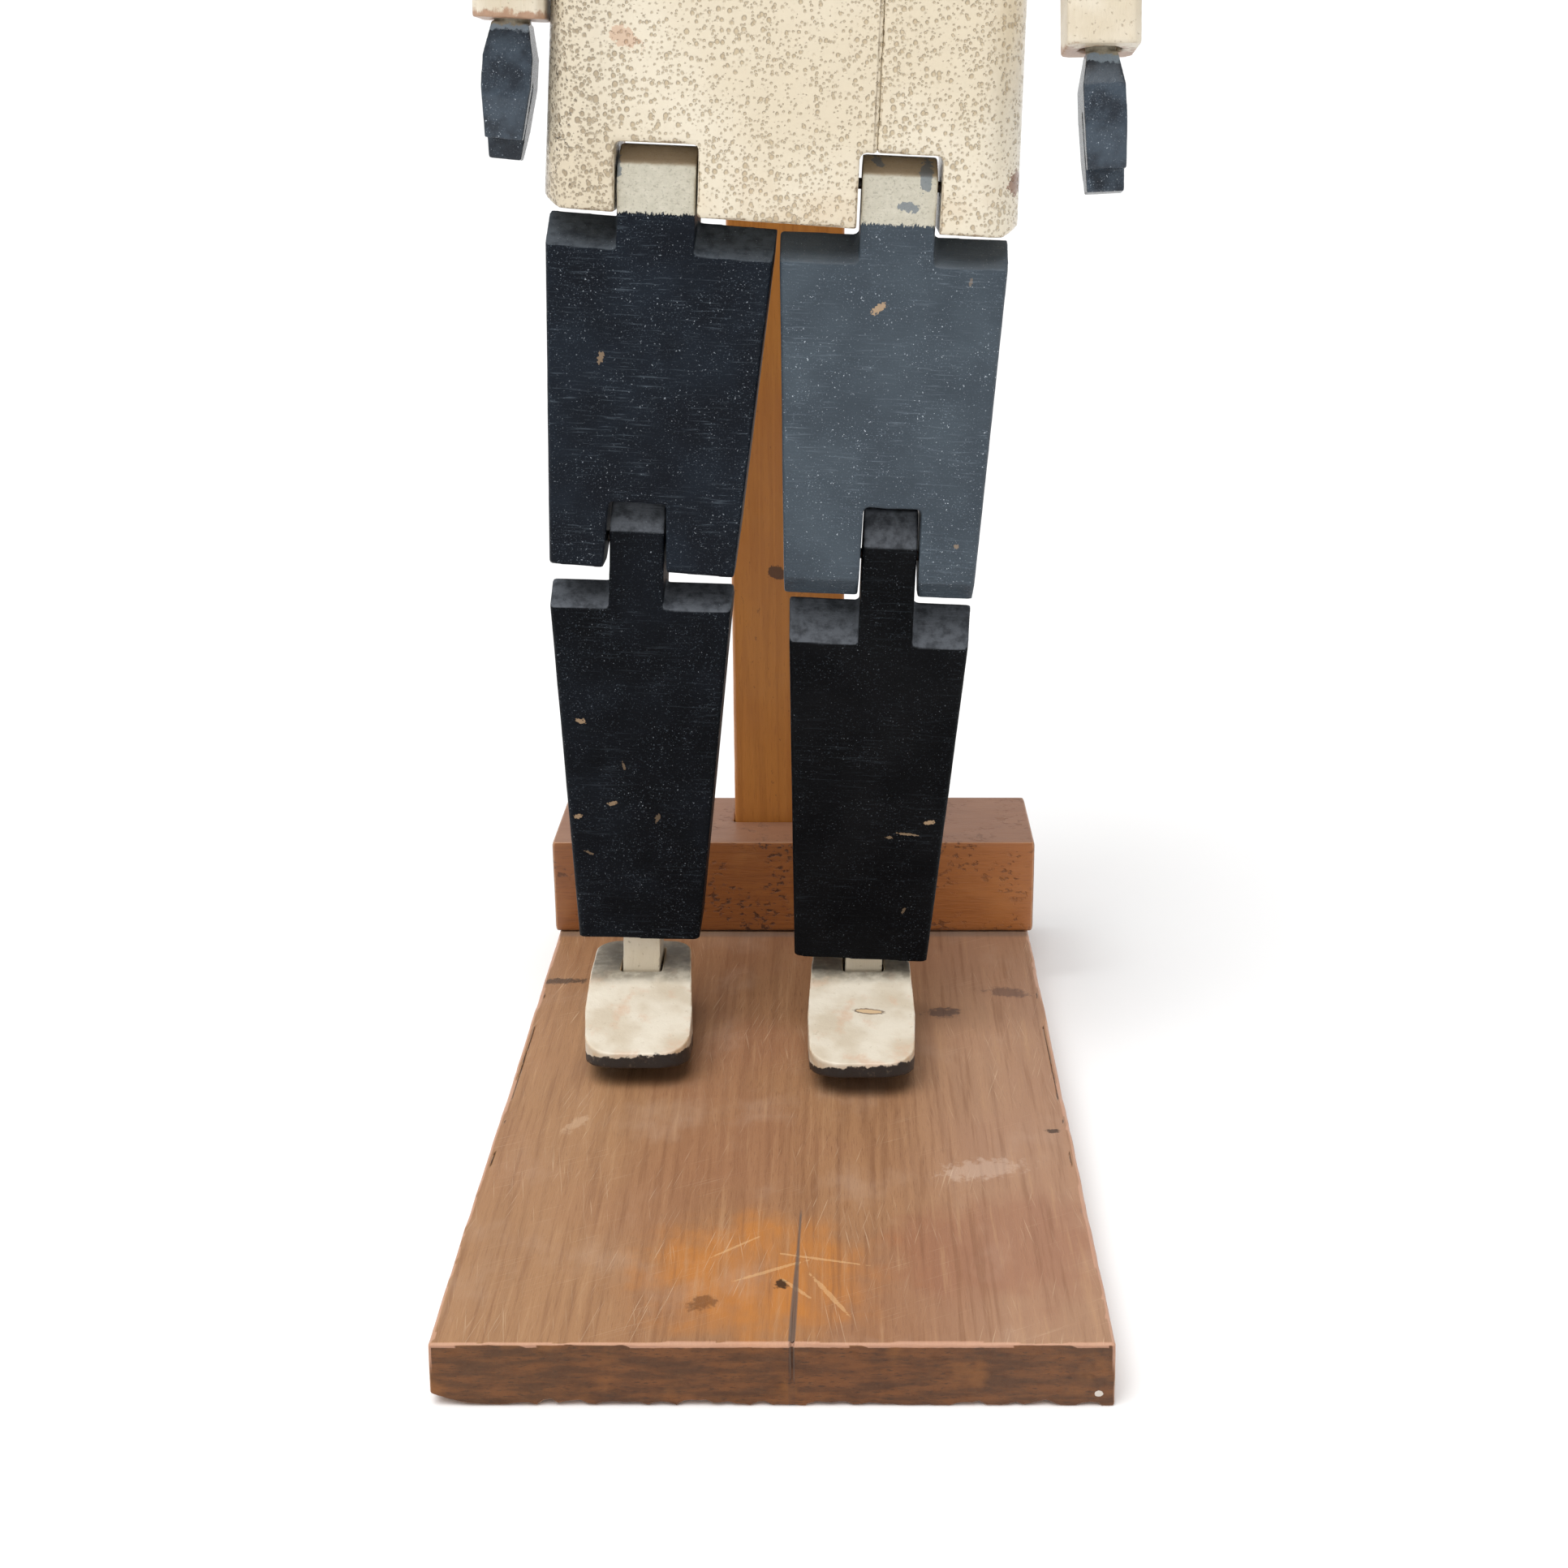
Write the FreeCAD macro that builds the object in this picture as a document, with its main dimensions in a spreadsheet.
import FreeCAD, Part
import os
import Sketcher

# A jointed wooden figure hung on a stand. X is to the right, Y is away from the
# figure's face and Z is up. The origin is the middle of the base board's underside.
# Every limb turns on a pin that lies along the torso's own X, which dips to the right
# because the figure hangs a little askew on its support arm.

Vector = FreeCAD.Vector
Rotation = FreeCAD.Rotation
Placement = FreeCAD.Placement

DIMENSIONS = {
    # how far a cut runs on beyond the wood it cuts
    "spare": 5,
    # stand
    "board_width": 241, "board_depth": 429.2, "board_thick": 25.4,
    "cleat_width": 244, "cleat_depth": 67.9, "cleat_height": 48.8,
    "post_x": -2.6, "post_width": 57, "post_front": 177, "post_thick": 25,
    "post_top": 601.4, "post_tenon": 32,
    "peg_radius": 5, "peg_length": 34, "peg_height": 24,
    "screw_radius": 2.4, "screw_length": 52, "screw_head_radius": 4.8, "screw_head_thick": 3,
    "screw_recess": 1.2, "screw_spacing": 62, "screw_play": 0.02, "screw_hole_deeper": 1,
    "arm_height": 553.4, "arm_wide": 30, "arm_tall": 36, "arm_end": 236,
    "arm_tenon_radius": 10, "arm_tenon_length": 22,
    "wedge_wide": 12, "wedge_thick_top": 9, "wedge_thick_tip": 6, "wedge_length": 66,
    # torso, measured from the line of the hip pins
    "torso_x": 0.3, "torso_y": 42, "torso_z": 403.9, "torso_roll": 2.6,
    "torso_front": 22, "torso_back": 28, "torso_round": 20,
    "hem_half": 97, "hem_left_z": -14.1, "hem_right_z": -18.1,
    "hem_corner_x": 7, "hem_corner_z": 4.4,
    "waist_half": 93.6, "waist_z": 118, "shoulder_half": 94.6, "shoulder_z": 235,
    "shoulder_slope_x": 76, "shoulder_slope_z": 256, "neck_base_half": 26, "torso_top": 263,
    "seam_x": 37.7, "split_half_wide": 150, "split_half_deep": 100, "split_half_tall": 300,
    "hip_slot_top": 13, "hip_slot_wide": 33.4, "hip_slot_depth": 30,
    "neck_radius": 13, "neck_sunk": 40, "neck_shown": 13, "neck_in_head": 34, "neck_end_gap": 2,
    # pins and their holes
    "pin_radius": 2.25, "pin_hole_radius": 2.27, "pin_running_radius": 2.31,
    "hip_pin_outer": 95.5, "hip_pin_inner": 16,
    "shoulder_pin_radius": 3, "shoulder_hole_radius": 3.02, "shoulder_running_radius": 3.06,
    "shoulder_pin_inner": 66, "shoulder_cap_gap": 1.2,
    "shoulder_head_radius": 6.5, "shoulder_head_thick": 3,
    "washer_radius": 6.5, "washer_thick": 0.9, "washer_gap": 0.08,
    # both thighs
    "thigh_front": 18, "thigh_back": 24,
    "hip_tongue_top": 11.6, "hip_tongue_flat": 4, "hip_tongue_root": 45,
    "hip_tongue_front_rise": 4.5, "hip_tongue_back_rise": 7, "hip_back_drop": 13,
    "thigh_back_bevel": 17, "thigh_arris": 1.4, "knee_slot_wide": 24.2,
    "left_hip_x": -50.4, "right_hip_x": 47.5,
    "left_thigh_offset": 2.7, "right_thigh_offset": -0.9,
    "left_thigh_lean": 2.1, "right_thigh_lean": -0.3,
    "left_thigh_ridge": 17.9, "right_thigh_ridge": 20,
    "left_thigh_drop": 12, "right_thigh_drop": 10.6,
    "left_thigh_length": 163, "right_thigh_length": 171,
    "left_thigh_top_half": 47, "right_thigh_top_half": 47.1,
    "left_thigh_end_half": 39.3, "right_thigh_end_half": 40.4,
    "left_thigh_toe_bevel": 1.2, "right_thigh_toe_bevel": 8,
    "left_hip_tongue_wide": 31.9, "right_hip_tongue_wide": 30.6,
    "left_knee_x": -5.6, "right_knee_x": 3.9, "left_knee_z": -152.2, "right_knee_z": -154.8,
    "left_knee_slot_top": 18.6, "right_knee_slot_top": 23.5,
    "left_knee_flare": 4, "right_knee_flare": 1, "knee_flare_inside": 1,
    "knee_slot_low": 40, "knee_pin_length": 74,
    # both shins
    "shin_front": 16, "shin_back": 22, "shin_back_drop": 9, "shin_arris": 1.6,
    "left_knee_tongue_top": 17.5, "right_knee_tongue_top": 21, "knee_tongue_flat": 8, "knee_tongue_front_rise": 6,
    "knee_tongue_back": 17.6, "knee_tongue_round": 16.5, "knee_tongue_root": 55,
    "knee_step_low": 34, "knee_step_top": 29,
    "left_shin_offset": 1.5, "right_shin_offset": -2.5,
    "left_shin_lean": -0.83, "right_shin_lean": 0.3,
    "left_shin_ridge": 19, "right_shin_ridge": 20.5,
    "left_shin_drop": 8.5, "right_shin_drop": 16,
    "left_shin_length": 180.7, "right_shin_length": 183.7,
    "left_shin_top_half": 39.5, "right_shin_top_half": 39.6,
    "left_shin_end_half": 27, "right_shin_end_half": 30,
    "left_knee_tongue_wide": 23.4, "right_knee_tongue_wide": 23.2,
    "left_ankle_x": 4.7, "right_ankle_x": -1.7, "ankle_y": 3,
    "left_ankle_z": -203.5, "right_ankle_z": -196.3,
    # ankles and shoes
    "tenon_wide": 16.8, "tenon_half_depth": 12, "tenon_in_shin": 14, "tenon_round": 10,
    "tenon_arris": 3, "socket_play": 0.05,
    "shoe_sole": 22, "shoe_collar": 5, "shoe_heel": 21, "left_shoe_toe": 70, "right_shoe_toe": 79,
    "shoe_ball_part": 0.55,
    "shoe_heel_half": 21.6, "shoe_ball_half": 23.9, "shoe_toe_half": 22.4,
    "left_toe_aside": 4, "right_toe_aside": 0,
    "shoe_toe_round": 14, "shoe_heel_round": 11, "shoe_slot_wide": 18.4, "shoe_slot_half_depth": 13.6,
    "shoe_slot_floor": 13.4, "vamp_start": 14, "vamp_middle": 38, "vamp_middle_drop": 1,
    "vamp_end_drop": 10, "toe_flat_end": 27, "toe_rise": 6, "heel_flat_end": 12, "heel_rise": 3,
    "ankle_pin_length": 41,
    # arms
    "arm_pivot_y": 3, "left_shoulder_x": -111.5, "right_shoulder_x": 111.4,
    "left_arm_lean": -0.5, "right_arm_lean": -3.4, "left_arm_forward": 2, "right_arm_forward": 10.5,
    "arm_top": 16, "arm_half_wide": 15, "arm_half_deep": 15.5, "arm_top_round": 13,
    "upper_arm_length": 92, "upper_arm_end": 8, "arm_arris": 3, "elbow_slot_wide": 12.4,
    "elbow_slot_top": 14.5, "elbow_bevel": 15, "elbow_pin_length": 29,
    "elbow_tongue_wide": 11.6, "elbow_tongue_top": 10, "elbow_tongue_half": 10,
    "elbow_tongue_root": 35, "elbow_tongue_round": 9, "elbow_slot_low": 20,
    "forearm_ridge": 13, "forearm_drop": 9, "forearm_back_drop": 4,
    "left_forearm_length": 86, "right_forearm_length": 90.5,
    "forearm_top_half": 14.8, "forearm_end_half": 14.3,
    "wrist_socket_radius": 8.3, "wrist_socket_depth": 15,
    # hands
    "left_hand_lean": 3.3, "right_hand_lean": -1.7, "wrist_peg_length": 12, "wrist_peg_root": 3,
    "wrist_gap": 1, "thumb_taper": 1.8,
    "left_wrist_radius": 7.4, "right_wrist_radius": 6,
    "left_hand_half": 10, "right_hand_half": 8.4, "left_hand_tip_half": 6.6,
    "right_hand_tip_half": 7.4, "hand_front": 11.5, "hand_back": 11, "hand_shoulder": 14,
    "hand_wide_low": 26, "thumb_swell": 30, "hand_cut_top": 24, "hand_cut_front": 4.8,
    "hand_cut_back": 3.5, "finger_back": 5, "finger_bend": 11,
    "hand_length": 54, "thumb_length": 46,
    # head, measured from the torso's top
    "head_rise": 9, "skull_high": 45, "skull_half_high": 50, "skull_half_wide": 37,
    "skull_half_deep": 43, "jaw_high": 30, "jaw_half_high": 34, "jaw_half_wide": 29,
    "jaw_half_deep": 36, "jaw_forward": 9, "chin_flat": 4,
    "nose_half_wide": 6, "nose_out": 50, "nose_low": 27, "nose_high": 52, "nose_root": 30,
    "nose_tip_rise": 2, "neck_socket_radius": 13.06,
}
SIDES = ("left", "right")

doc = FreeCAD.newDocument("JointedFigure")
sheet = doc.addObject("Spreadsheet::Sheet", "Dims")
for row, (alias, value) in enumerate(DIMENSIONS.items(), start=1):
    sheet.set("A%d" % row, alias)
    sheet.set("B%d" % row, str(value))
    sheet.setAlias("B%d" % row, alias)
doc.recompute()

sub_parts = []


def size(expression):
    """The number that an expression on the sheet comes to."""
    return float(sheet.evalExpression(expression))


def dim(name, side=None):
    """The expression that names one cell, with its side in front where it has one."""
    return "Dims." + (name if side is None else side + "_" + name)


# ---------------------------------------------------------------- sketches and features

def sketch_on(body, name, plane, wires=(), circles=(), base=("0", "0", "0"), tilt=None):
    """A sketch of closed outlines and circles, every coordinate bound to the sheet.

    base shifts the sketch's plane, in the plane's own directions, and tilt turns it:
    an axis and an expression for the angle in degrees."""
    sketch = body.newObject("Sketcher::SketchObject", name)
    support = [item for item in body.Origin.OriginFeatures if item.Role == plane][0]
    sketch.AttachmentSupport = [(support, "")]
    sketch.MapMode = "FlatFace"
    turn = Rotation()
    if tilt is not None:
        turn = Rotation(tilt[0], size(tilt[1]))
    sketch.AttachmentOffset = Placement(Vector(), turn)
    for letter, expression in zip("xyz", base):
        if expression != "0":
            sketch.setExpression("AttachmentOffset.Base." + letter, expression)
    for points in wires:
        first = sketch.GeometryCount
        count = len(points)
        corners = [Vector(size(across), size(up), 0) for across, up in points]
        for index in range(count):
            sketch.addGeometry(Part.LineSegment(corners[index], corners[(index + 1) % count]), False)
        for index, point in enumerate(points):
            after = first + (index + 1) % count
            sketch.addConstraint(Sketcher.Constraint("Coincident", first + index, 2, after, 1))
            lock_point(sketch, first + index, 1, point)
    for across, up, radius in circles:
        centre = Vector(size(across), size(up), 0)
        ring = sketch.addGeometry(Part.Circle(centre, Vector(0, 0, 1), size(radius)), False)
        lock_point(sketch, ring, 3, (across, up))
        number = sketch.addConstraint(Sketcher.Constraint("Radius", ring, size(radius)))
        sketch.setExpression("Constraints[%d]" % number, radius)
    return sketch


def lock_point(sketch, geometry, place, point):
    """Holds one point of a sketch at the two expressions given."""
    for kind, expression, axis in zip(("DistanceX", "DistanceY"), point, (-2, -1)):
        if expression == "0":
            sketch.addConstraint(Sketcher.Constraint("PointOnObject", geometry, place, axis))
        else:
            value = size(expression)
            rule = Sketcher.Constraint(kind, -1, 1, geometry, place, value)
            number = sketch.addConstraint(rule)
            sketch.setExpression("Constraints[%d]" % number, expression)


def new_body(label):
    return doc.addObject("PartDesign::Body", label)


def pad(body, sketch, length, symmetric=True, backwards=False):
    feature = body.newObject("PartDesign::Pad", sketch.Name + "Pad")
    feature.Profile = sketch
    feature.SideType = "Symmetric" if symmetric else "One side"
    feature.Reversed = backwards
    feature.setExpression("Length", length)
    return feature


def pocket(body, sketch, length=None):
    """Cuts both ways from the sketch, right through or over the length given."""
    doc.recompute()
    before = body.Shape.Volume
    feature = body.newObject("PartDesign::Pocket", sketch.Name + "Cut")
    feature.Profile = sketch
    feature.SideType = "Symmetric"
    if length is None:
        feature.Type = "ThroughAll"
    else:
        feature.Type = "Length"
        feature.setExpression("Length", length)
    doc.recompute()
    if body.Shape.Volume >= before:
        raise RuntimeError(sketch.Name + " cuts nothing from " + body.Label)
    return feature


def dress(body, kind, amount, wanted):
    """A fillet or chamfer of the sheet's amount on every edge that wanted picks."""
    doc.recompute()
    base = body.Tip
    names = [
        "Edge%d" % number
        for number, edge in enumerate(base.Shape.Edges, start=1)
        if wanted(edge)
    ]
    feature = body.newObject("PartDesign::" + kind, body.Name + kind)
    feature.Base = (base, names)
    feature.setExpression("Radius" if kind == "Fillet" else "Size", amount)
    return feature


def long_upright(edge):
    """Whether an edge is one of a limb's long arrises."""
    box = edge.BoundBox
    return box.ZLength > 45 and box.ZLength > 3 * max(box.XLength, box.YLength)


def across_at(y, z):
    """Picks the edge that runs straight along X through the given Y and Z."""
    def wanted(edge):
        box = edge.BoundBox
        middle = box.Center
        near = abs(middle.y - y) < 0.05 and abs(middle.z - z) < 0.05
        return box.XLength > 5 and box.YLength < 0.1 and box.ZLength < 0.1 and near
    return wanted


def keep(item, base, turn):
    """Gives a sub-part its place and lists it for export."""
    item.Placement = Placement(base, turn)
    sub_parts.append(item)
    return item


# ---------------------------------------------------------------- places

ROLL = Rotation(Vector(0, 1, 0), size("Dims.torso_roll"))
HIP_LINE = Vector(size("Dims.torso_x"), size("Dims.torso_y"), size("Dims.torso_z"))
ALONG_X = Rotation(Vector(0, 1, 0), 90)
UPRIGHT = Rotation()


def from_torso(x, y, z):
    """A point given from the hip line, along the torso's own directions."""
    return HIP_LINE + ROLL.multVec(Vector(x, y, z))


def hip_point(side):
    return from_torso(size(dim("hip_x", side)), 0, 0)


def knee_point(side):
    step = Vector(size(dim("knee_x", side)), 0, size(dim("knee_z", side)))
    return hip_point(side) + ROLL.multVec(step)


def ankle_point(side):
    step = Vector(size(dim("ankle_x", side)), size("Dims.ankle_y"), size(dim("ankle_z", side)))
    return knee_point(side) + ROLL.multVec(step)


def arm_turn(side):
    """The arm hangs in the torso's frame, swung forward about the shoulder pin."""
    return ROLL.multiply(Rotation(Vector(1, 0, 0), -size(dim("arm_forward", side))))


def lean_turn(side, name):
    return Rotation(Vector(0, 1, 0), size(dim(name, side)))


def shoulder_point(side):
    pivot_y = size("Dims.arm_pivot_y")
    return from_torso(size(dim("shoulder_x", side)), pivot_y, size("Dims.shoulder_z"))


def elbow_point(side):
    step = lean_turn(side, "arm_lean").multVec(Vector(0, 0, -size("Dims.upper_arm_length")))
    return shoulder_point(side) + arm_turn(side).multVec(step)


def wrist_point(side):
    reach = size(dim("forearm_length", side))
    step = lean_turn(side, "arm_lean").multVec(Vector(0, 0, -reach))
    return elbow_point(side) + arm_turn(side).multVec(step)


# ---------------------------------------------------------------- the stand

def block(name, length, width, height, corner):
    """A box whose sides and lowest corner are expressions on the sheet."""
    item = doc.addObject("Part::Box", name)
    for key, expression in zip(("Length", "Width", "Height"), (length, width, height)):
        item.setExpression(key, expression)
    for letter, expression in zip("xyz", corner):
        if expression != "0":
            item.setExpression("Placement.Base." + letter, expression)
    return item


def rod(name, radius, length, base, turn=UPRIGHT):
    """A round bar from a point, along the turned Z."""
    item = doc.addObject("Part::Cylinder", name)
    item.setExpression("Radius", radius)
    item.setExpression("Height", length)
    item.Placement = Placement(base, turn)
    return item


def join(kind, name, items):
    """A fuse or cut of several objects, the first one being the base."""
    if kind == "Cut":
        result = doc.addObject("Part::Cut", name)
        result.Base = items[0]
        tools = items[1:]
        if len(tools) > 1:
            result.Tool = join("MultiFuse", name + "_tools", tools)
        else:
            result.Tool = tools[0]
        return result
    result = doc.addObject("Part::" + kind, name)
    result.Shapes = items
    return result


def stand_screws(suffix, hole):
    """Four countersunk screws, or the holes for them, up through the board."""
    radius_play = " + Dims.screw_play" if hole else ""
    length_play = " + Dims.screw_hole_deeper" if hole else ""
    places = []
    back = size("Dims.board_depth / 2 - Dims.cleat_depth / 2")
    row_step = size("Dims.cleat_depth / 4")
    spacing = size("Dims.screw_spacing")
    for column in (-1.5, -0.5, 0.5, 1.5):
        shift = row_step if column in (-1.5, 0.5) else -row_step
        places.append(Vector(column * spacing, back + shift, size("Dims.screw_recess")))
    solids = []
    for number, place in enumerate(places, start=1):
        tag = "%s%d" % (suffix, number)
        shank = rod("shank" + tag, "Dims.screw_radius" + radius_play,
                    "Dims.screw_length" + length_play, place)
        head = doc.addObject("Part::Cone", "head" + tag)
        head.setExpression("Radius1", "Dims.screw_head_radius" + radius_play)
        head.setExpression("Radius2", "Dims.screw_radius" + radius_play)
        head.setExpression("Height", "Dims.screw_head_thick")
        head.Placement = Placement(place, UPRIGHT)
        pieces = [shank, head]
        if hole:
            recess = "Dims.screw_recess + Dims.spare"
            below = place - Vector(0, 0, size(recess))
            pieces.append(rod("sink" + tag, "Dims.screw_head_radius" + radius_play, recess, below))
        solids.append(join("MultiFuse", "screw" + tag, pieces))
    return solids


def base_board():
    plank = block("plank", "Dims.board_width", "Dims.board_depth", "Dims.board_thick",
                  ("-Dims.board_width / 2", "-Dims.board_depth / 2", "0"))
    holes = stand_screws("_board_hole", True)
    return join("Cut", "base_board", [plank] + holes)


def back_cleat():
    timber = block("timber", "Dims.cleat_width", "Dims.cleat_depth", "Dims.cleat_height",
                   ("-Dims.cleat_width / 2", "Dims.board_depth / 2 - Dims.cleat_depth", "Dims.board_thick"))
    mortise = block("post_mortise", "Dims.post_width", "Dims.post_thick", "Dims.post_tenon + Dims.spare",
                    ("Dims.post_x - Dims.post_width / 2", "Dims.post_front",
                     "Dims.board_thick + Dims.cleat_height - Dims.post_tenon"))
    peg_hole = rod("peg_hole", "Dims.peg_radius", "Dims.peg_length", PEG_END, BACKWARDS)
    holes = stand_screws("_cleat_hole", True)
    return join("Cut", "back_cleat", [timber, mortise, peg_hole] + holes)


BACKWARDS = Rotation(Vector(1, 0, 0), -90)
PEG_END = Vector(
    size("Dims.post_x"),
    size("Dims.board_depth / 2 - Dims.peg_length"),
    size("Dims.board_thick + Dims.peg_height"),
)


def stand_post():
    foot = "Dims.board_thick + Dims.cleat_height - Dims.post_tenon"
    batten = block("batten", "Dims.post_width", "Dims.post_thick", "Dims.post_top - (%s)" % foot,
                   ("Dims.post_x - Dims.post_width / 2", "Dims.post_front", foot))
    mortise = block("arm_mortise", "Dims.arm_wide", "Dims.post_thick + Dims.spare * 2", "Dims.arm_tall",
                    ("Dims.post_x - Dims.arm_wide / 2", "Dims.post_front - Dims.spare",
                     "Dims.arm_height - Dims.arm_tall / 2"))
    peg_hole = rod("post_peg_hole", "Dims.peg_radius", "Dims.peg_length", PEG_END, BACKWARDS)
    return join("Cut", "stand_post", [batten, mortise, peg_hole])


def support_arm():
    back = size("Dims.torso_y + Dims.torso_back")
    bar = block("bar", "Dims.arm_wide", "Dims.arm_end - Dims.torso_y - Dims.torso_back", "Dims.arm_tall",
                ("Dims.post_x - Dims.arm_wide / 2", "Dims.torso_y + Dims.torso_back",
                 "Dims.arm_height - Dims.arm_tall / 2"))
    start = Vector(size("Dims.post_x"), back - size("Dims.arm_tenon_length"), size("Dims.arm_height"))
    tenon = rod("arm_tenon", "Dims.arm_tenon_radius", "Dims.arm_tenon_length + Dims.spare", start,
                BACKWARDS)
    slot = block("wedge_slot", "Dims.wedge_wide", "Dims.wedge_thick_top", "Dims.arm_tall + Dims.spare * 2",
                 ("Dims.post_x - Dims.wedge_wide / 2", "Dims.post_front + Dims.post_thick",
                  "Dims.arm_height - Dims.arm_tall / 2 - Dims.spare"))
    whole = join("MultiFuse", "arm_blank", [bar, tenon])
    return join("Cut", "support_arm", [whole, slot])


def arm_wedge():
    body = new_body("arm_wedge")
    half = "Dims.wedge_length / 2"
    outline = [
        ("0", "-" + half), ("Dims.wedge_thick_tip", "-" + half),
        ("Dims.wedge_thick_top", "Dims.arm_tall / 2"), ("Dims.wedge_thick_top", half), ("0", half),
    ]
    pad(body, sketch_on(body, "WedgeSide", "YZ_Plane", [outline]), "Dims.wedge_wide")
    return body


# ---------------------------------------------------------------- torso and head

def torso_blank():
    """Both torso boards as one block, with every slot and hole."""
    body = new_body("torso_blank")
    hem, corner = "Dims.hem_half", "Dims.hem_corner_x"
    left_low, right_low = "Dims.hem_left_z", "Dims.hem_right_z"
    up = "Dims.hem_corner_z"
    right_side = [
        ("%s - %s" % (hem, corner), right_low), (hem, "%s + %s" % (right_low, up)),
        ("Dims.waist_half", "Dims.waist_z"), ("Dims.shoulder_half", "Dims.shoulder_z"),
        ("Dims.shoulder_slope_x", "Dims.shoulder_slope_z"), ("Dims.neck_base_half", "Dims.torso_top"),
    ]
    left_side = [("-(%s)" % across, height) for across, height in reversed(right_side[2:])]
    left_side += [("-" + hem, "%s + %s" % (left_low, up)), ("-%s + %s" % (hem, corner), left_low)]
    front = sketch_on(body, "TorsoFront", "XZ_Plane", [right_side + left_side],
                      base=("0", "0", "Dims.torso_front"))
    pad(body, front, "Dims.torso_front + Dims.torso_back", symmetric=False, backwards=True)

    def side_edge(edge):
        box = edge.BoundBox
        return box.ZLength > 100 and abs(box.Center.x) > 90
    dress(body, "Fillet", "Dims.torso_round", side_edge)

    half = "Dims.hip_slot_wide / 2"
    slots = []
    for side in SIDES:
        centre = dim("hip_x", side)
        left, right = "%s - %s" % (centre, half), "%s + %s" % (centre, half)
        slots.append([
            (left, "-Dims.hip_slot_depth"), (right, "-Dims.hip_slot_depth"),
            (right, "Dims.hip_slot_top"), (left, "Dims.hip_slot_top"),
        ])
    pocket(body, sketch_on(body, "HipSlots", "XZ_Plane", slots))
    for side, sign in zip(SIDES, ("-", "")):
        middle = sign + "(Dims.hip_pin_inner + Dims.hem_half + Dims.spare) / 2"
        bore = sketch_on(body, side.title() + "HipBore", "YZ_Plane",
                         circles=[("0", "0", "Dims.pin_hole_radius")], base=("0", "0", middle))
        pocket(body, bore, "Dims.hem_half + Dims.spare - Dims.hip_pin_inner")
        middle = sign + "(Dims.shoulder_pin_inner + Dims.shoulder_half + Dims.spare) / 2"
        bore = sketch_on(body, side.title() + "ShoulderBore", "YZ_Plane",
                         circles=[("Dims.arm_pivot_y", "Dims.shoulder_z", "Dims.shoulder_hole_radius")],
                         base=("0", "0", middle))
        pocket(body, bore, "Dims.shoulder_half + Dims.spare - Dims.shoulder_pin_inner")
    neck = sketch_on(body, "NeckBore", "XY_Plane",
                     circles=[("0", "Dims.arm_pivot_y", "Dims.neck_radius")],
                     base=("0", "0", "Dims.torso_top"))
    pocket(body, neck, "Dims.neck_sunk * 2")
    return body


def torso_board(label, blank, low_x, high_x, bore):
    """One of the two torso boards, on its own side of the glued seam."""
    reach, tall = "Dims.split_half_deep", "Dims.split_half_tall"
    side = block(label + "_side", "%s - (%s)" % (high_x, low_x), reach + " * 2", tall + " * 2",
                 (low_x, "-" + reach, "-" + tall))
    board = doc.addObject("Part::Common", label if bore is None else label + "_plain")
    board.Base = blank
    board.Tool = side
    if bore is None:
        return board
    return join("Cut", label, [board, bore])


def arm_tenon_bore():
    """The blind hole in the torso's back, square to it, for the support arm's tenon."""
    centre = Vector(size("Dims.post_x"), HIP_LINE.y, size("Dims.arm_height"))
    local = ROLL.inverted().multVec(centre - HIP_LINE)
    depth = size("Dims.torso_back - Dims.arm_tenon_length")
    return rod("arm_bore", "Dims.arm_tenon_radius", "Dims.arm_tenon_length + Dims.spare",
               Vector(local.x, depth, local.z), BACKWARDS)


def head():
    """A plain carved head: skull and jaw as two egg shapes, with a wedge of a nose."""
    def egg(name, half_high, half_wide, half_deep, centre):
        item = doc.addObject("Part::Ellipsoid", name)
        item.setExpression("Radius1", half_high)
        item.setExpression("Radius2", half_wide)
        item.setExpression("Radius3", half_deep)
        item.Placement = Placement(centre, UPRIGHT)
        return item
    skull = egg("skull", "Dims.skull_half_high", "Dims.skull_half_wide", "Dims.skull_half_deep",
                Vector(0, 0, size("Dims.skull_high + Dims.head_rise")))
    jaw = egg("jaw", "Dims.jaw_half_high", "Dims.jaw_half_wide", "Dims.jaw_half_deep",
              Vector(0, -size("Dims.jaw_forward"), size("Dims.jaw_high + Dims.head_rise")))
    nose = new_body("nose")
    rise, root = "Dims.head_rise + ", "-Dims.nose_root"
    outline = [
        (root, rise + "Dims.nose_high"), (root, rise + "Dims.nose_low"),
        ("-Dims.nose_out", rise + "Dims.nose_low + Dims.nose_tip_rise"),
    ]
    pad(nose, sketch_on(nose, "NoseSide", "YZ_Plane", [outline]), "Dims.nose_half_wide * 2")
    whole = join("MultiFuse", "head_blank", [skull, jaw, nose])
    half, deep = "Dims.skull_half_deep", "Dims.skull_half_high"
    under = block("under_head", half + " * 2", half + " * 2", deep,
                  ("-" + half, "-" + half, rise + "Dims.chin_flat - " + deep))
    bore = rod("neck_socket", "Dims.neck_socket_radius", "Dims.neck_in_head + Dims.neck_shown",
               Vector())
    return join("Cut", "head", [whole, under, bore])


# ---------------------------------------------------------------- limbs

def taper_wedges(top, end, ridge, length):
    """The two outlines that cut a limb's sides from its half width at the ridge down to
    its half width at the end."""
    wedges = []
    for sign in ("-", ""):
        beside, below = "%s(%s + Dims.spare)" % (sign, top), "-%s - Dims.spare" % length
        wedges.append([
            (sign + top, "-" + ridge), (sign + end, "-" + length), (sign + end, below),
            (beside, below), (beside, "-%s + Dims.spare" % ridge),
        ])
    return wedges


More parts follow.
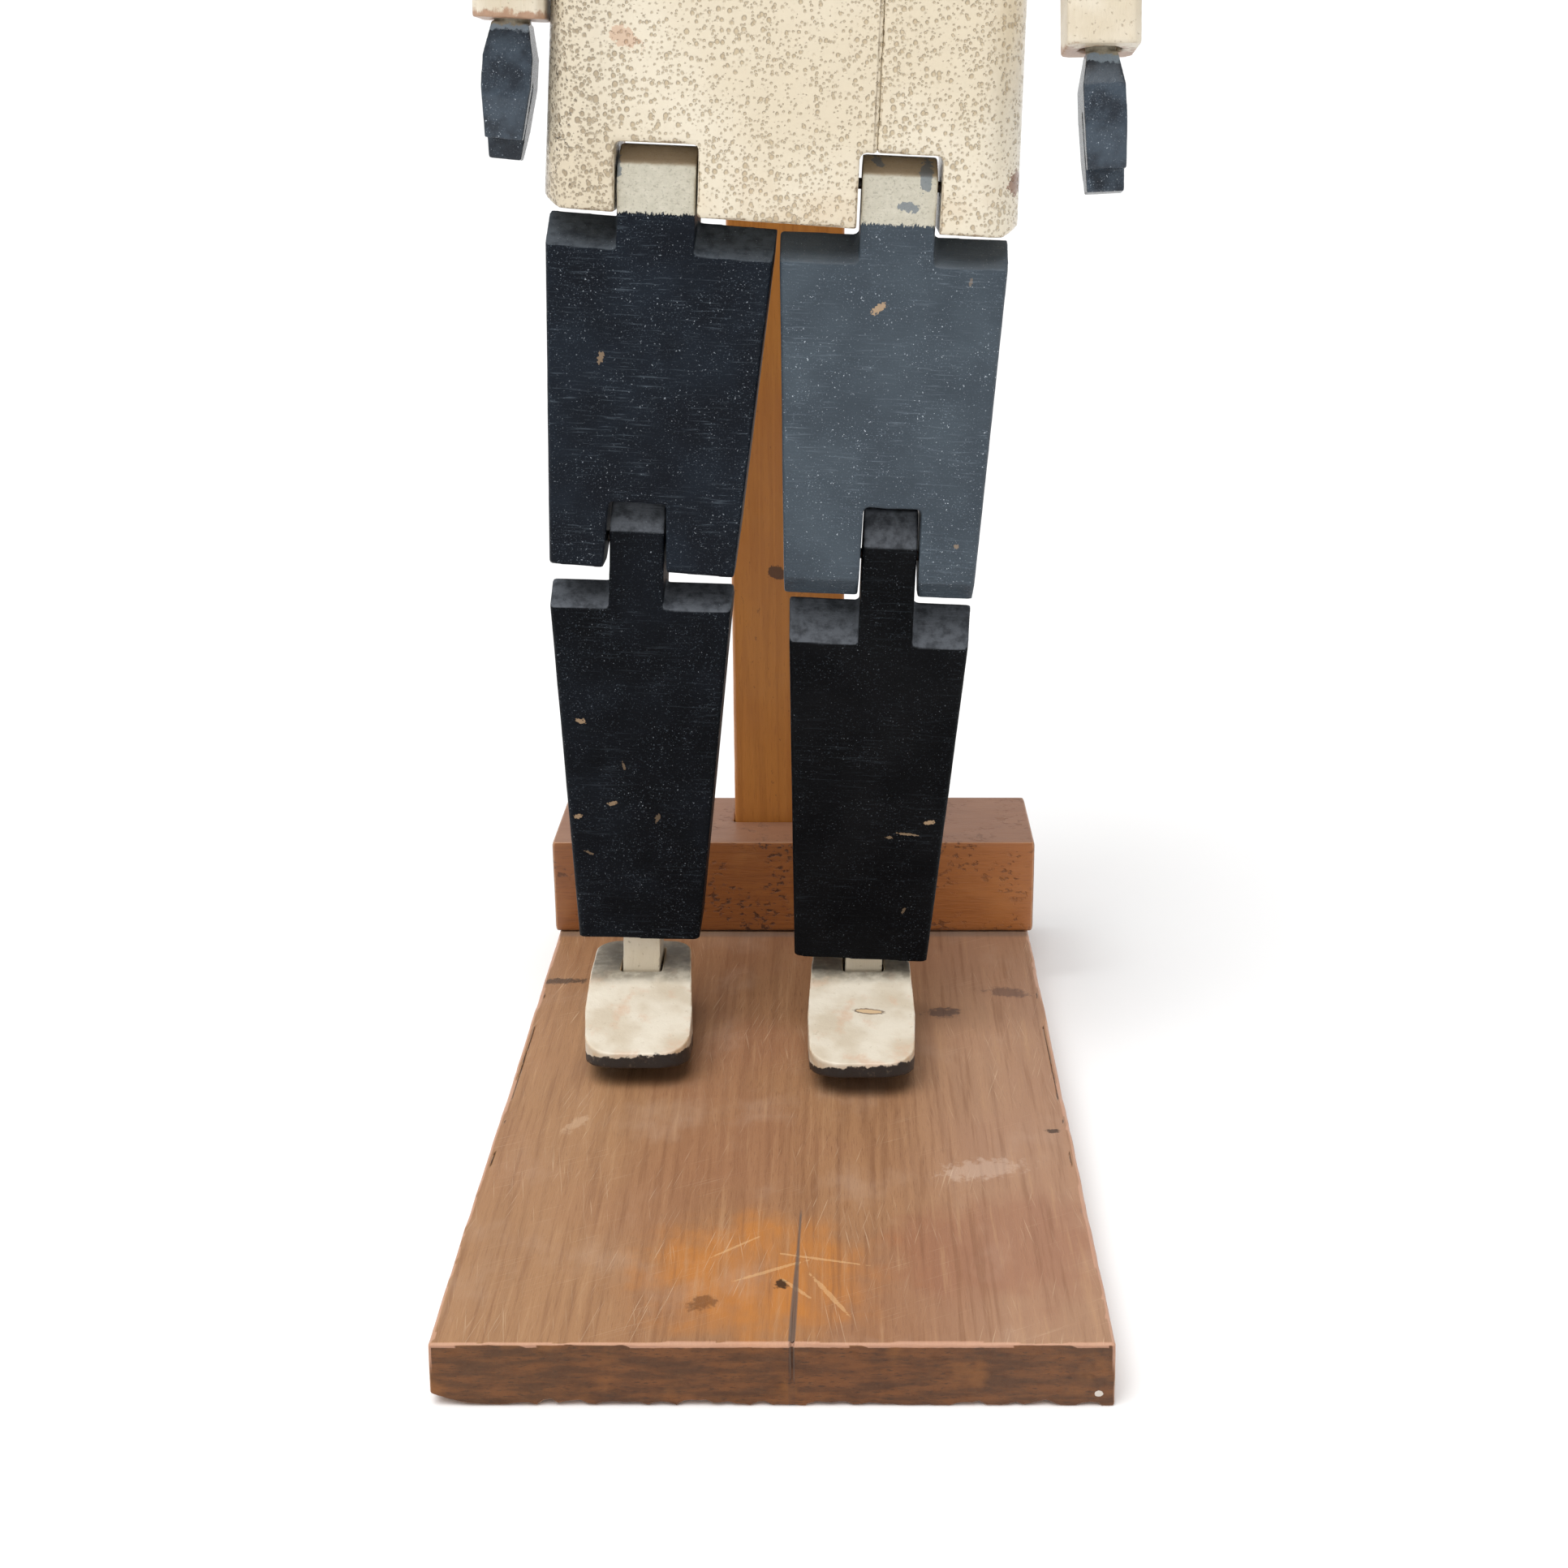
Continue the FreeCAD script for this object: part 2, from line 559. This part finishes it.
def tapered_blank(body, side, part, profile, arris):
    """A limb's main block: its side profile, drawn in the leaning frame, made as wide
    as its top end and then tapered on both sides."""
    lean, offset = dim(part + "_lean", side), dim(part + "_offset", side)
    ridge, length = dim(part + "_ridge", side), dim(part + "_length", side)
    top, end = dim(part + "_top_half", side), dim(part + "_end_half", side)
    outline = sketch_on(body, side + part + "Side", "YZ_Plane", [profile],
                        base=("0", "0", offset), tilt=(Vector(1, 0, 0), lean))
    pad(body, outline, top + " * 2")
    wedges = taper_wedges(top, end, ridge, length)
    taper = sketch_on(body, side + part + "Taper", "XZ_Plane", wedges,
                      base=(offset, "0", "0"), tilt=(Vector(0, 0, 1), "-" + lean))
    pocket(body, taper)
    dress(body, "Chamfer", arris, long_upright)


def thigh(side):
    body = new_body(side + "_thigh")
    front, back = "Dims.thigh_front", "Dims.thigh_back"
    ridge, length = dim("thigh_ridge", side), dim("thigh_length", side)
    bevel = dim("thigh_toe_bevel", side)
    profile = [
        ("0", "-" + ridge), ("-" + front, "-%s - %s" % (ridge, dim("thigh_drop", side))),
        ("-" + front, "-%s + %s" % (length, bevel)), ("-%s + %s" % (front, bevel), "-" + length),
        ("0", "-" + length), (back, "-%s + Dims.thigh_back_bevel" % length),
        (back, "-%s - Dims.hip_back_drop" % ridge),
    ]
    tapered_blank(body, side, "thigh", profile, "Dims.thigh_arris")
    flat, root = "Dims.hip_tongue_flat", "-Dims.hip_tongue_root"
    tongue = [
        ("-" + front, root), (back, root), (back, "Dims.hip_tongue_back_rise"),
        (flat, "Dims.hip_tongue_top"), ("-" + flat, "Dims.hip_tongue_top"),
        ("-" + front, "Dims.hip_tongue_front_rise"),
    ]
    pad(body, sketch_on(body, side + "HipTongue", "YZ_Plane", [tongue]), dim("hip_tongue_wide", side))
    knee_x, knee_z = dim("knee_x", side), dim("knee_z", side)
    half, flare = "Dims.knee_slot_wide / 2", dim("knee_flare", side)
    top, low = "%s + %s" % (knee_z, dim("knee_slot_top", side)), knee_z + " - Dims.knee_slot_low"
    slot = [
        ("%s - %s" % (knee_x, half), top), ("%s - %s - %s" % (knee_x, half, flare), low),
        ("%s + %s + Dims.knee_flare_inside" % (knee_x, half), low), ("%s + %s" % (knee_x, half), top),
    ]
    pocket(body, sketch_on(body, side + "KneeSlot", "XZ_Plane", [slot]))
    holes = [("0", "0", "Dims.pin_running_radius"), ("0", knee_z, "Dims.pin_hole_radius")]
    pocket(body, sketch_on(body, side + "ThighBores", "YZ_Plane", circles=holes))
    return body


def shin(side):
    body = new_body(side + "_shin")
    front, back = "Dims.shin_front", "Dims.shin_back"
    ridge, length = dim("shin_ridge", side), dim("shin_length", side)
    profile = [
        ("0", "-" + ridge), ("-" + front, "-%s - %s" % (ridge, dim("shin_drop", side))),
        ("-" + front, "-" + length), (back, "-" + length),
        (back, "-%s - Dims.shin_back_drop" % ridge),
    ]
    tapered_blank(body, side, "shin", profile, "Dims.shin_arris")
    rear, top = "Dims.knee_tongue_back", dim("knee_tongue_top", side)
    root = "-Dims.knee_tongue_root"
    tongue = [
        ("-" + front, root), (back, root), (back, "-Dims.knee_step_low"),
        (rear, "-Dims.knee_step_top"), (rear, top),
        ("-Dims.knee_tongue_flat", top), ("-" + front, "Dims.knee_tongue_front_rise"),
    ]
    pad(body, sketch_on(body, side + "KneeTongue", "YZ_Plane", [tongue]), dim("knee_tongue_wide", side))
    dress(body, "Fillet", "Dims.knee_tongue_round", across_at(size(rear), size(top)))
    hole = [("0", "0", "Dims.pin_running_radius")]
    pocket(body, sketch_on(body, side + "KneeBore", "YZ_Plane", circles=hole))
    near, far = "Dims.ankle_y - Dims.tenon_half_depth", "Dims.ankle_y + Dims.tenon_half_depth"
    roof, floor = "-%s + Dims.tenon_in_shin" % length, "-%s - Dims.spare" % length
    socket = [(near, floor), (far, floor), (far, roof), (near, roof)]
    pocket(body, sketch_on(body, side + "AnkleSocket", "YZ_Plane", [socket],
                           base=("0", "0", dim("ankle_x", side))), "Dims.tenon_wide + Dims.socket_play")
    return body


def ankle_tenon(side):
    body = new_body(side + "_ankle_tenon")
    half, round_off = "Dims.tenon_half_depth", "Dims.tenon_round"
    top = "-(%s) - %s + Dims.tenon_in_shin" % (dim("ankle_z", side), dim("shin_length", side))
    outline = [("-" + half, "-" + half), (half, "-" + half), (half, top), ("-" + half, top)]
    pad(body, sketch_on(body, side + "TenonSide", "YZ_Plane", [outline]), "Dims.tenon_wide")

    def lower_edge(edge):
        box = edge.BoundBox
        return box.XLength > 5 and box.Center.z < -size(half) + 0.1
    dress(body, "Fillet", round_off, lower_edge)
    hole = [("0", "0", "Dims.pin_running_radius")]
    pocket(body, sketch_on(body, side + "TenonBore", "YZ_Plane", circles=hole))
    return body


def shoe(side):
    """The shoe stands level, so its block is turned back against the torso's roll."""
    body = new_body(side + "_shoe")
    toe, heel = dim("shoe_toe", side), "Dims.shoe_heel"
    heel_half, ball_half, toe_half = "Dims.shoe_heel_half", "Dims.shoe_ball_half", "Dims.shoe_toe_half"
    ball = "-%s * Dims.shoe_ball_part" % toe
    aside = dim("toe_aside", side)
    ball_aside = aside + " * Dims.shoe_ball_part"
    plan = [
        ("-" + heel_half, heel), ("%s - %s" % (ball_aside, ball_half), ball),
        ("%s - %s" % (aside, toe_half), "-" + toe), ("%s + %s" % (aside, toe_half), "-" + toe),
        ("%s + %s" % (ball_aside, ball_half), ball), (heel_half, heel),
    ]
    level = "-Dims.torso_roll"
    blank = sketch_on(body, side + "ShoePlan", "XY_Plane", [plan], base=("0", "0", "-Dims.shoe_sole"),
                      tilt=(Vector(0, 1, 0), level))
    pad(body, blank, "Dims.shoe_sole + Dims.shoe_collar", symmetric=False)

    def upright_near(y):
        return lambda edge: edge.BoundBox.ZLength > 15 and abs(edge.BoundBox.Center.y - y) < 1
    dress(body, "Fillet", "Dims.shoe_toe_round", upright_near(-size(toe)))
    dress(body, "Fillet", "Dims.shoe_heel_round", upright_near(size(heel)))
    collar, sole = "Dims.shoe_collar", "Dims.shoe_sole"
    over_collar, under_sole = collar + " + Dims.spare", "-%s - Dims.spare" % sole
    beyond_toe, beyond_heel = "-%s - Dims.spare" % toe, heel + " + Dims.spare"
    vamp = [
        ("-Dims.vamp_start", collar), ("-Dims.vamp_middle", "-Dims.vamp_middle_drop"),
        (beyond_toe, "-Dims.vamp_end_drop"), (beyond_toe, over_collar),
        ("-Dims.vamp_start", over_collar),
    ]
    toe_spring = [
        ("-Dims.toe_flat_end", "-" + sole), ("-%s" % toe, "-%s + Dims.toe_rise" % sole),
        (beyond_toe, "-%s + Dims.toe_rise" % sole), (beyond_toe, under_sole),
        ("-Dims.toe_flat_end", under_sole),
    ]
    heel_spring = [
        ("Dims.heel_flat_end", "-" + sole), ("Dims.heel_flat_end", under_sole),
        (beyond_heel, under_sole), (beyond_heel, "-%s + Dims.heel_rise" % sole),
        (heel, "-%s + Dims.heel_rise" % sole),
    ]
    pocket(body, sketch_on(body, side + "ShoeSide", "YZ_Plane", [vamp, toe_spring, heel_spring],
                           tilt=(Vector(1, 0, 0), level)))
    half, floor = "Dims.shoe_slot_half_depth", "-Dims.shoe_slot_floor"
    slot = [("-" + half, floor), (half, floor), (half, over_collar), ("-" + half, over_collar)]
    pocket(body, sketch_on(body, side + "ShoeSlot", "YZ_Plane", [slot]), "Dims.shoe_slot_wide")
    hole = [("0", "0", "Dims.pin_hole_radius")]
    pocket(body, sketch_on(body, side + "ShoeBore", "YZ_Plane", circles=hole))
    return body


def upper_arm(side):
    body = new_body(side + "_upper_arm")
    deep, top = "Dims.arm_half_deep", "Dims.arm_top"
    end, bevel = "-Dims.upper_arm_length - Dims.upper_arm_end", "Dims.elbow_bevel"
    lean = dim("arm_lean", side)
    profile = [
        ("-" + deep, top), ("-" + deep, "%s + %s" % (end, bevel)), ("0", end), (deep, end), (deep, top),
    ]
    pad(body, sketch_on(body, side + "ArmSide", "YZ_Plane", [profile],
                        tilt=(Vector(1, 0, 0), lean)), "Dims.arm_half_wide * 2")
    dress(body, "Chamfer", "Dims.arm_arris", long_upright)

    def top_edge(edge):
        box = edge.BoundBox
        return box.XLength > 15 and box.Center.z > size(top) - 2
    dress(body, "Fillet", "Dims.arm_top_round", top_edge)
    reach, half = "Dims.upper_arm_length", "Dims.elbow_slot_wide / 2"
    low = "-%s - Dims.elbow_slot_low" % reach
    slot = [
        ("-" + half, "-%s + Dims.elbow_slot_top" % reach), ("-" + half, low),
        (half, low), (half, "-%s + Dims.elbow_slot_top" % reach),
    ]
    shift = "-%s * sin(%s * 1 deg)" % (reach, lean)
    pocket(body, sketch_on(body, side + "ElbowSlot", "XZ_Plane", [slot], base=(shift, "0", "0")))
    drop = "-%s * cos(%s * 1 deg)" % (reach, lean)
    holes = [("0", "0", "Dims.shoulder_running_radius"), ("0", drop, "Dims.pin_hole_radius")]
    pocket(body, sketch_on(body, side + "ArmBores", "YZ_Plane", circles=holes))
    return body


def forearm(side):
    body = new_body(side + "_forearm")
    deep, length = "Dims.arm_half_deep", dim("forearm_length", side)
    ridge, drop = "Dims.forearm_ridge", "Dims.forearm_drop"
    top, end, lean = "Dims.forearm_top_half", "Dims.forearm_end_half", dim("arm_lean", side)
    profile = [
        ("0", "-" + ridge), ("-" + deep, "-%s - %s" % (ridge, drop)), ("-" + deep, "-" + length),
        (deep, "-" + length), (deep, "-%s - Dims.forearm_back_drop" % ridge),
    ]
    pad(body, sketch_on(body, side + "ForearmSide", "YZ_Plane", [profile],
                        tilt=(Vector(1, 0, 0), lean)), top + " * 2")
    wedges = taper_wedges(top, end, ridge, length)
    pocket(body, sketch_on(body, side + "ForearmTaper", "XZ_Plane", wedges,
                           tilt=(Vector(0, 0, 1), "-" + lean)))
    dress(body, "Chamfer", "Dims.arm_arris", long_upright)
    half, rise = "Dims.elbow_tongue_half", "Dims.elbow_tongue_top"
    root = "-Dims.elbow_tongue_root"
    tongue = [("-" + half, root), (half, root), (half, rise), ("-" + half, rise)]
    pad(body, sketch_on(body, side + "ElbowTongue", "YZ_Plane", [tongue]), "Dims.elbow_tongue_wide")

    def tongue_top(edge):
        box = edge.BoundBox
        return box.XLength > 5 and box.YLength < 0.1 and box.Center.z > size(rise) - 0.1
    dress(body, "Fillet", "Dims.elbow_tongue_round", tongue_top)
    hole = [("0", "0", "Dims.pin_running_radius")]
    pocket(body, sketch_on(body, side + "ElbowBore", "YZ_Plane", circles=hole))
    socket = sketch_on(body, side + "WristSocket", "XY_Plane",
                       circles=[("0", "0", "Dims.wrist_socket_radius")],
                       base=("-%s * sin(%s * 1 deg)" % (length, lean), "0", "-" + length))
    pocket(body, socket, "Dims.wrist_socket_depth * 2")
    return body


def hand(side):
    """A mitten hand hanging from its peg: thumb in front, fingers behind a saw cut."""
    body = new_body(side + "_hand")
    tip, thumb, top = "-Dims.hand_length", "-Dims.thumb_length", "-Dims.wrist_gap"
    wrist, wide = dim("wrist_radius", side), dim("hand_half", side)
    narrow = dim("hand_tip_half", side)
    front, back, shoulder = "Dims.hand_front", "Dims.hand_back", "-Dims.hand_shoulder"
    cut_top = "-Dims.hand_cut_top"
    profile = [
        ("-" + wrist, top), ("-%s + Dims.thumb_taper" % front, shoulder),
        ("-" + front, "-Dims.thumb_swell"), ("-%s + Dims.thumb_taper" % front, thumb),
        ("-Dims.hand_cut_front", thumb), ("-Dims.hand_cut_front", cut_top),
        ("-Dims.hand_cut_back", cut_top), ("-Dims.hand_cut_back", tip), ("Dims.finger_back", tip),
        (back, tip + " + Dims.finger_bend"), (back, shoulder), (wrist, top),
    ]
    pad(body, sketch_on(body, side + "HandSide", "YZ_Plane", [profile]), wide + " * 2")
    wedges = []
    for sign in ("-", ""):
        beside, below, above = "%s(%s + Dims.spare)" % (sign, wide), tip + " - Dims.spare", "Dims.spare"
        wedges.append([
            (sign + wide, "-Dims.hand_wide_low"), (sign + narrow, tip), (sign + narrow, below),
            (beside, below), (beside, "-Dims.hand_wide_low"),
        ])
        wedges.append([
            (sign + wrist, above), (sign + wrist, top), (sign + wide, shoulder),
            (beside, shoulder), (beside, above),
        ])
    pocket(body, sketch_on(body, side + "HandTaper", "XZ_Plane", wedges))
    peg = sketch_on(body, side + "WristPeg", "XY_Plane", circles=[("0", "0", wrist)],
                    base=("0", "0", "-Dims.wrist_peg_root"))
    pad(body, peg, "Dims.wrist_peg_length + Dims.wrist_peg_root", symmetric=False)
    return body


def shoulder_pin(side):
    """A dome-headed pin from outside the arm into the torso's side, along its own Z."""
    inner = "Dims.shoulder_pin_inner"
    outer = "abs(%s) + Dims.arm_half_wide" % dim("shoulder_x", side)
    to_cap = "%s + Dims.shoulder_cap_gap - %s" % (outer, inner)
    shank = rod(side + "_shoulder_shank", "Dims.shoulder_pin_radius",
                to_cap + " + Dims.shoulder_head_thick / 2", Vector())
    base = Vector(0, 0, size(to_cap))
    cap = rod(side + "_shoulder_cap", "Dims.shoulder_head_radius", "Dims.shoulder_head_thick", base)
    return join("MultiFuse", side + "_shoulder_pin", [shank, cap])


def shoulder_washer(side):
    disc = rod(side + "_disc", "Dims.washer_radius", "Dims.washer_thick", Vector())
    eye = rod(side + "_eye", "Dims.shoulder_running_radius", "Dims.washer_thick * 3",
              Vector(0, 0, -size("Dims.washer_thick")))
    return join("Cut", side + "_shoulder_washer", [disc, eye])


# ---------------------------------------------------------------- assembly

def assemble_stand():
    keep(base_board(), Vector(), UPRIGHT)
    keep(back_cleat(), Vector(), UPRIGHT)
    keep(stand_post(), Vector(), UPRIGHT)
    keep(support_arm(), Vector(), UPRIGHT)
    wedge_place = Vector(size("Dims.post_x"), size("Dims.post_front + Dims.post_thick"),
                         size("Dims.arm_height"))
    keep(arm_wedge(), wedge_place, UPRIGHT)
    keep(rod("post_peg", "Dims.peg_radius", "Dims.peg_length", PEG_END, BACKWARDS), PEG_END, BACKWARDS)
    screws = doc.addObject("Part::Compound", "cleat_screws")
    screws.Links = stand_screws("_steel", False)
    keep(screws, Vector(), UPRIGHT)


def assemble_torso():
    blank = torso_blank()
    edge, seam = "Dims.split_half_wide", "Dims.seam_x"
    main = torso_board("torso_main_board", blank, "-" + edge, seam, arm_tenon_bore())
    keep(main, HIP_LINE, ROLL)
    keep(torso_board("torso_side_board", blank, seam, edge, None), HIP_LINE, ROLL)
    pivot_y, top = size("Dims.arm_pivot_y"), size("Dims.torso_top")
    dowel = rod("neck_dowel", "Dims.neck_radius",
                "Dims.neck_sunk + Dims.neck_shown + Dims.neck_in_head - Dims.neck_end_gap", Vector())
    keep(dowel, from_torso(0, pivot_y, top - size("Dims.neck_sunk")), ROLL)
    keep(head(), from_torso(0, pivot_y, top), ROLL)


def assemble_leg(side):
    along = ROLL.multiply(ALONG_X)
    outer, inner = size("Dims.hip_pin_outer"), size("Dims.hip_pin_inner")
    pin = rod(side + "_hip_pin", "Dims.pin_radius", "Dims.hip_pin_outer - Dims.hip_pin_inner", Vector())
    start = -outer if side == "left" else inner
    keep(pin, from_torso(start, 0, 0), along)
    keep(thigh(side), hip_point(side), ROLL)
    pin = rod(side + "_knee_pin", "Dims.pin_radius", "Dims.knee_pin_length", Vector())
    centred = ROLL.multVec(Vector(-size("Dims.knee_pin_length") / 2, 0, 0))
    keep(pin, knee_point(side) + centred, along)
    keep(shin(side), knee_point(side), ROLL)
    keep(ankle_tenon(side), ankle_point(side), ROLL)
    keep(shoe(side), ankle_point(side), ROLL)
    pin = rod(side + "_ankle_pin", "Dims.pin_radius", "Dims.ankle_pin_length", Vector())
    centred = ROLL.multVec(Vector(-size("Dims.ankle_pin_length") / 2, 0, 0))
    keep(pin, ankle_point(side) + centred, along)


def assemble_arm(side):
    turn = arm_turn(side)
    out = -1 if side == "left" else 1
    outwards = ROLL.multiply(Rotation(Vector(0, 1, 0), 90 * out))
    pivot_y, pivot_z = size("Dims.arm_pivot_y"), size("Dims.shoulder_z")
    keep(shoulder_pin(side), from_torso(out * size("Dims.shoulder_pin_inner"), pivot_y, pivot_z), outwards)
    washer_x = out * size("Dims.shoulder_half + Dims.washer_gap")
    keep(shoulder_washer(side), from_torso(washer_x, pivot_y, pivot_z), outwards)
    keep(upper_arm(side), shoulder_point(side), turn)
    pin = rod(side + "_elbow_pin", "Dims.pin_radius", "Dims.elbow_pin_length", Vector())
    centred = turn.multVec(Vector(-size("Dims.elbow_pin_length") / 2, 0, 0))
    keep(pin, elbow_point(side) + centred, turn.multiply(ALONG_X))
    keep(forearm(side), elbow_point(side), turn)
    hand_turn = turn.multiply(lean_turn(side, "arm_lean")).multiply(lean_turn(side, "hand_lean"))
    keep(hand(side), wrist_point(side), hand_turn)


def check_and_write():
    doc.recompute()
    for item in doc.Objects:
        if "Invalid" in item.State or "Error" in item.State:
            raise RuntimeError("%s failed: %s" % (item.Label, item.State))
    os.makedirs("parts", exist_ok=True)
    for item in sub_parts:
        shape = item.Shape
        if shape.isNull() or not shape.isValid() or not shape.Solids:
            raise RuntimeError("bad shape: " + item.Label)
        shape.exportStep("parts/%s.step" % item.Label)
        print("%-20s %2d solid(s) %9.1f mm3" % (item.Label, len(shape.Solids), shape.Volume))


assemble_stand()
assemble_torso()
for each_side in SIDES:
    assemble_leg(each_side)
    assemble_arm(each_side)
check_and_write()
